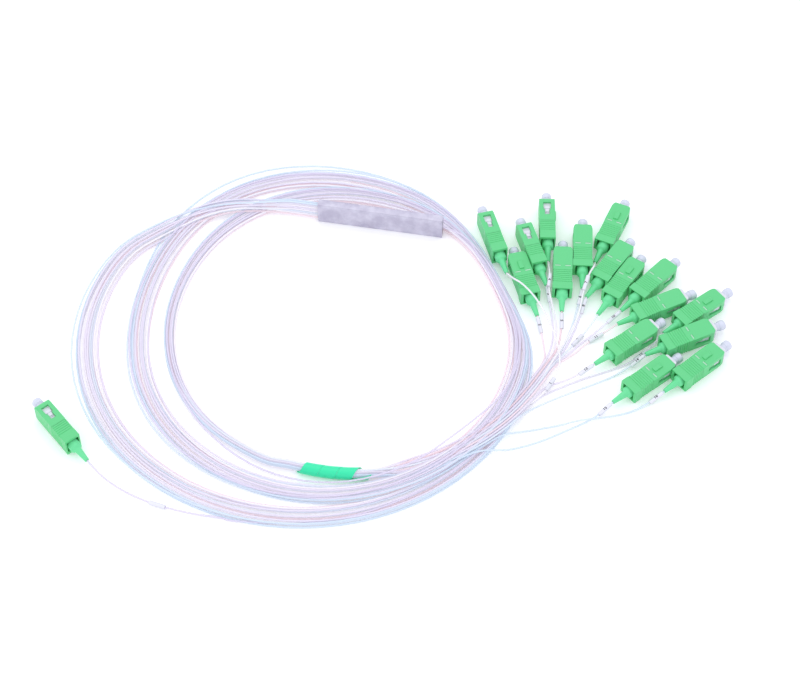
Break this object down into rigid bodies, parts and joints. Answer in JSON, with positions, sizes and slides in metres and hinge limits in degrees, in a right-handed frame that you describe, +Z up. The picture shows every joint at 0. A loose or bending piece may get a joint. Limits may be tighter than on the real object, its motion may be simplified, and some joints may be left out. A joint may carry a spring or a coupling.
{
  "type": "plc fibre splitter",
  "caption": "Mini-module fibre splitter in a small steel tube, with coiled loose-tube leads that end in green angled plugs under dust caps.",
  "frame": {"origin": "middle of the bottom face of the steel tube, on the surface that it stands on", "axes": "+X along the tube towards the input end, +Y across its thickness, +Z up its long cross-section side"},
  "size_m": [0.3045, 0.2074, 0.012],
  "materials": {
    "module_steel": "satin",
    "silica_glass": "gloss",
    "green_plastic": "matte",
    "cap_plastic": "translucent",
    "zirconia": "polished",
    "white_plastic": "matte",
    "spring_steel": "satin",
    "green_rubber": "matte",
    "tag_plastic": "translucent",
    "tube_plastic": "translucent",
    "wrap_plastic": "translucent"
  },
  "bodies": {
    "splitter": {"splitter_tube": "module_steel", "optical_core": "silica_glass", "plug_frames": "white_plastic", "ferrule_springs": "spring_steel", "boots": "green_rubber", "port_tags": "tag_plastic", "fibre_runs": "tube_plastic", "fibre_coil": "tube_plastic", "spiral_wrap": "wrap_plastic"},
    "grip_body_01": {"grip_01": "green_plastic"},
    "cap_body_01": {"cap_01": "cap_plastic"},
    "ferrule_body_01": {"ferrule_01": "zirconia"},
    "grip_body_02": {"grip_02": "green_plastic"},
    "cap_body_02": {"cap_02": "cap_plastic"},
    "ferrule_body_02": {"ferrule_02": "zirconia"},
    "grip_body_03": {"grip_03": "green_plastic"},
    "cap_body_03": {"cap_03": "cap_plastic"},
    "ferrule_body_03": {"ferrule_03": "zirconia"},
    "grip_body_04": {"grip_04": "green_plastic"},
    "cap_body_04": {"cap_04": "cap_plastic"},
    "ferrule_body_04": {"ferrule_04": "zirconia"},
    "grip_body_05": {"grip_05": "green_plastic"},
    "cap_body_05": {"cap_05": "cap_plastic"},
    "ferrule_body_05": {"ferrule_05": "zirconia"},
    "grip_body_06": {"grip_06": "green_plastic"},
    "cap_body_06": {"cap_06": "cap_plastic"},
    "ferrule_body_06": {"ferrule_06": "zirconia"},
    "grip_body_07": {"grip_07": "green_plastic"},
    "cap_body_07": {"cap_07": "cap_plastic"},
    "ferrule_body_07": {"ferrule_07": "zirconia"},
    "grip_body_08": {"grip_08": "green_plastic"},
    "cap_body_08": {"cap_08": "cap_plastic"},
    "ferrule_body_08": {"ferrule_08": "zirconia"},
    "grip_body_09": {"grip_09": "green_plastic"},
    "cap_body_09": {"cap_09": "cap_plastic"},
    "ferrule_body_09": {"ferrule_09": "zirconia"},
    "grip_body_10": {"grip_10": "green_plastic"},
    "cap_body_10": {"cap_10": "cap_plastic"},
    "ferrule_body_10": {"ferrule_10": "zirconia"},
    "grip_body_11": {"grip_11": "green_plastic"},
    "cap_body_11": {"cap_11": "cap_plastic"},
    "ferrule_body_11": {"ferrule_11": "zirconia"},
    "grip_body_12": {"grip_12": "green_plastic"},
    "cap_body_12": {"cap_12": "cap_plastic"},
    "ferrule_body_12": {"ferrule_12": "zirconia"},
    "grip_body_13": {"grip_13": "green_plastic"},
    "cap_body_13": {"cap_13": "cap_plastic"},
    "ferrule_body_13": {"ferrule_13": "zirconia"},
    "grip_body_14": {"grip_14": "green_plastic"},
    "cap_body_14": {"cap_14": "cap_plastic"},
    "ferrule_body_14": {"ferrule_14": "zirconia"},
    "grip_body_15": {"grip_15": "green_plastic"},
    "cap_body_15": {"cap_15": "cap_plastic"},
    "ferrule_body_15": {"ferrule_15": "zirconia"},
    "grip_body_16": {"grip_16": "green_plastic"},
    "cap_body_16": {"cap_16": "cap_plastic"},
    "ferrule_body_16": {"ferrule_16": "zirconia"},
    "grip_body_in": {"grip_in": "green_plastic"},
    "cap_body_in": {"cap_in": "cap_plastic"},
    "ferrule_body_in": {"ferrule_in": "zirconia"}
  },
  "joints": [
    {"name": "grip_slide_01", "type": "slide", "parent": "splitter", "child": "grip_body_01", "axis": [-0.4274, 0.9041, 0], "range_m": [-0.0018, 0]},
    {"name": "cap_pull_01", "type": "slide", "parent": "splitter", "child": "cap_body_01", "axis": [-0.4274, 0.9041, 0], "range_m": [0, 0.012]},
    {"name": "ferrule_float_01", "type": "slide", "parent": "splitter", "child": "ferrule_body_01", "axis": [-0.4274, 0.9041, 0], "range_m": [-0.0015, 0], "stiffness_N_per_m": 1000, "deforming": ["ferrule_springs"]},
    {"name": "grip_slide_02", "type": "slide", "parent": "splitter", "child": "grip_body_02", "axis": [-0.4051, 0.9143, 0], "range_m": [-0.0018, 0]},
    {"name": "cap_pull_02", "type": "slide", "parent": "splitter", "child": "cap_body_02", "axis": [-0.4051, 0.9143, 0], "range_m": [0, 0.012]},
    {"name": "ferrule_float_02", "type": "slide", "parent": "splitter", "child": "ferrule_body_02", "axis": [-0.4051, 0.9143, 0], "range_m": [-0.0015, 0], "stiffness_N_per_m": 1000, "deforming": ["ferrule_springs"]},
    {"name": "grip_slide_03", "type": "slide", "parent": "splitter", "child": "grip_body_03", "axis": [-0.4337, 0.9011, 0], "range_m": [-0.0018, 0]},
    {"name": "cap_pull_03", "type": "slide", "parent": "splitter", "child": "cap_body_03", "axis": [-0.4337, 0.9011, 0], "range_m": [0, 0.012]},
    {"name": "ferrule_float_03", "type": "slide", "parent": "splitter", "child": "ferrule_body_03", "axis": [-0.4337, 0.9011, 0], "range_m": [-0.0015, 0], "stiffness_N_per_m": 1000, "deforming": ["ferrule_springs"]},
    {"name": "grip_slide_04", "type": "slide", "parent": "splitter", "child": "grip_body_04", "axis": [-0.1513, 0.9885, 0], "range_m": [-0.0018, 0]},
    {"name": "cap_pull_04", "type": "slide", "parent": "splitter", "child": "cap_body_04", "axis": [-0.1513, 0.9885, 0], "range_m": [0, 0.012]},
    {"name": "ferrule_float_04", "type": "slide", "parent": "splitter", "child": "ferrule_body_04", "axis": [-0.1513, 0.9885, 0], "range_m": [-0.0015, 0], "stiffness_N_per_m": 1000, "deforming": ["ferrule_springs"]},
    {"name": "grip_slide_05", "type": "slide", "parent": "splitter", "child": "grip_body_05", "axis": [-0.1132, 0.9936, 0], "range_m": [-0.0018, 0]},
    {"name": "cap_pull_05", "type": "slide", "parent": "splitter", "child": "cap_body_05", "axis": [-0.1132, 0.9936, 0], "range_m": [0, 0.012]},
    {"name": "ferrule_float_05", "type": "slide", "parent": "splitter", "child": "ferrule_body_05", "axis": [-0.1132, 0.9936, 0], "range_m": [-0.0015, 0], "stiffness_N_per_m": 1000, "deforming": ["ferrule_springs"]},
    {"name": "grip_slide_06", "type": "slide", "parent": "splitter", "child": "grip_body_06", "axis": [-0.1184, 0.993, 0], "range_m": [-0.0018, 0]},
    {"name": "cap_pull_06", "type": "slide", "parent": "splitter", "child": "cap_body_06", "axis": [-0.1184, 0.993, 0], "range_m": [0, 0.012]},
    {"name": "ferrule_float_06", "type": "slide", "parent": "splitter", "child": "ferrule_body_06", "axis": [-0.1184, 0.993, 0], "range_m": [-0.0015, 0], "stiffness_N_per_m": 1000, "deforming": ["ferrule_springs"]},
    {"name": "grip_slide_07", "type": "slide", "parent": "splitter", "child": "grip_body_07", "axis": [0.2487, 0.9686, 0], "range_m": [-0.0018, 0]},
    {"name": "cap_pull_07", "type": "slide", "parent": "splitter", "child": "cap_body_07", "axis": [0.2487, 0.9686, 0], "range_m": [0, 0.012]},
    {"name": "ferrule_float_07", "type": "slide", "parent": "splitter", "child": "ferrule_body_07", "axis": [0.2487, 0.9686, 0], "range_m": [-0.0015, 0], "stiffness_N_per_m": 1000, "deforming": ["ferrule_springs"]},
    {"name": "grip_slide_08", "type": "slide", "parent": "splitter", "child": "grip_body_08", "axis": [0.4179, 0.9085, 0], "range_m": [-0.0018, 0]},
    {"name": "cap_pull_08", "type": "slide", "parent": "splitter", "child": "cap_body_08", "axis": [0.4179, 0.9085, 0], "range_m": [0, 0.012]},
    {"name": "ferrule_float_08", "type": "slide", "parent": "splitter", "child": "ferrule_body_08", "axis": [0.4179, 0.9085, 0], "range_m": [-0.0015, 0], "stiffness_N_per_m": 1000, "deforming": ["ferrule_springs"]},
    {"name": "grip_slide_09", "type": "slide", "parent": "splitter", "child": "grip_body_09", "axis": [0.4131, 0.9107, 0], "range_m": [-0.0018, 0]},
    {"name": "cap_pull_09", "type": "slide", "parent": "splitter", "child": "cap_body_09", "axis": [0.4131, 0.9107, 0], "range_m": [0, 0.012]},
    {"name": "ferrule_float_09", "type": "slide", "parent": "splitter", "child": "ferrule_body_09", "axis": [0.4131, 0.9107, 0], "range_m": [-0.0015, 0], "stiffness_N_per_m": 1000, "deforming": ["ferrule_springs"]},
    {"name": "grip_slide_10", "type": "slide", "parent": "splitter", "child": "grip_body_10", "axis": [0.5577, 0.83, 0], "range_m": [-0.0018, 0]},
    {"name": "cap_pull_10", "type": "slide", "parent": "splitter", "child": "cap_body_10", "axis": [0.5577, 0.83, 0], "range_m": [0, 0.012]},
    {"name": "ferrule_float_10", "type": "slide", "parent": "splitter", "child": "ferrule_body_10", "axis": [0.5577, 0.83, 0], "range_m": [-0.0015, 0], "stiffness_N_per_m": 1000, "deforming": ["ferrule_springs"]},
    {"name": "grip_slide_11", "type": "slide", "parent": "splitter", "child": "grip_body_11", "axis": [0.8141, 0.5807, 0], "range_m": [0, 0.0018]},
    {"name": "cap_pull_11", "type": "slide", "parent": "splitter", "child": "cap_body_11", "axis": [0.8141, 0.5807, 0], "range_m": [0, 0.012]},
    {"name": "ferrule_float_11", "type": "slide", "parent": "splitter", "child": "ferrule_body_11", "axis": [0.8141, 0.5807, 0], "range_m": [-0.0015, 0], "stiffness_N_per_m": 1000, "deforming": ["ferrule_springs"]},
    {"name": "grip_slide_12", "type": "slide", "parent": "splitter", "child": "grip_body_12", "axis": [0.6909, 0.723, 0], "range_m": [0, 0.0018]},
    {"name": "cap_pull_12", "type": "slide", "parent": "splitter", "child": "cap_body_12", "axis": [0.6909, 0.723, 0], "range_m": [0, 0.0015]},
    {"name": "ferrule_float_12", "type": "slide", "parent": "splitter", "child": "ferrule_body_12", "axis": [0.6909, 0.723, 0], "range_m": [-0.0015, 0], "stiffness_N_per_m": 1000, "deforming": ["ferrule_springs"]},
    {"name": "grip_slide_13", "type": "slide", "parent": "splitter", "child": "grip_body_13", "axis": [0.6871, 0.7266, 0], "range_m": [0, 0.0018]},
    {"name": "cap_pull_13", "type": "slide", "parent": "splitter", "child": "cap_body_13", "axis": [0.6871, 0.7266, 0], "range_m": [0, 0.012]},
    {"name": "ferrule_float_13", "type": "slide", "parent": "splitter", "child": "ferrule_body_13", "axis": [0.6871, 0.7266, 0], "range_m": [-0.0015, 0], "stiffness_N_per_m": 1000, "deforming": ["ferrule_springs"]},
    {"name": "grip_slide_14", "type": "slide", "parent": "splitter", "child": "grip_body_14", "axis": [0.8192, 0.5736, 0], "range_m": [0, 0.0018]},
    {"name": "cap_pull_14", "type": "slide", "parent": "splitter", "child": "cap_body_14", "axis": [0.8192, 0.5736, 0], "range_m": [0, 0.012]},
    {"name": "ferrule_float_14", "type": "slide", "parent": "splitter", "child": "ferrule_body_14", "axis": [0.8192, 0.5736, 0], "range_m": [-0.0015, 0], "stiffness_N_per_m": 1000, "deforming": ["ferrule_springs"]},
    {"name": "grip_slide_15", "type": "slide", "parent": "splitter", "child": "grip_body_15", "axis": [0.6652, 0.7466, 0], "range_m": [0, 0.0018]},
    {"name": "cap_pull_15", "type": "slide", "parent": "splitter", "child": "cap_body_15", "axis": [0.6652, 0.7466, 0], "range_m": [0, 0.0015]},
    {"name": "ferrule_float_15", "type": "slide", "parent": "splitter", "child": "ferrule_body_15", "axis": [0.6652, 0.7466, 0], "range_m": [-0.0015, 0], "stiffness_N_per_m": 1000, "deforming": ["ferrule_springs"]},
    {"name": "grip_slide_16", "type": "slide", "parent": "splitter", "child": "grip_body_16", "axis": [0.6414, 0.7672, 0], "range_m": [0, 0.0018]},
    {"name": "cap_pull_16", "type": "slide", "parent": "splitter", "child": "cap_body_16", "axis": [0.6414, 0.7672, 0], "range_m": [0, 0.012]},
    {"name": "ferrule_float_16", "type": "slide", "parent": "splitter", "child": "ferrule_body_16", "axis": [0.6414, 0.7672, 0], "range_m": [-0.0015, 0], "stiffness_N_per_m": 1000, "deforming": ["ferrule_springs"]},
    {"name": "grip_slide_in", "type": "slide", "parent": "splitter", "child": "grip_body_in", "axis": [-0.7547, 0.6561, 0], "range_m": [-0.0018, 0]},
    {"name": "cap_pull_in", "type": "slide", "parent": "splitter", "child": "cap_body_in", "axis": [-0.7547, 0.6561, 0], "range_m": [0, 0.012]},
    {"name": "ferrule_float_in", "type": "slide", "parent": "splitter", "child": "ferrule_body_in", "axis": [-0.7547, 0.6561, 0], "range_m": [-0.0015, 0], "stiffness_N_per_m": 1000, "deforming": ["ferrule_springs"]}
  ]
}
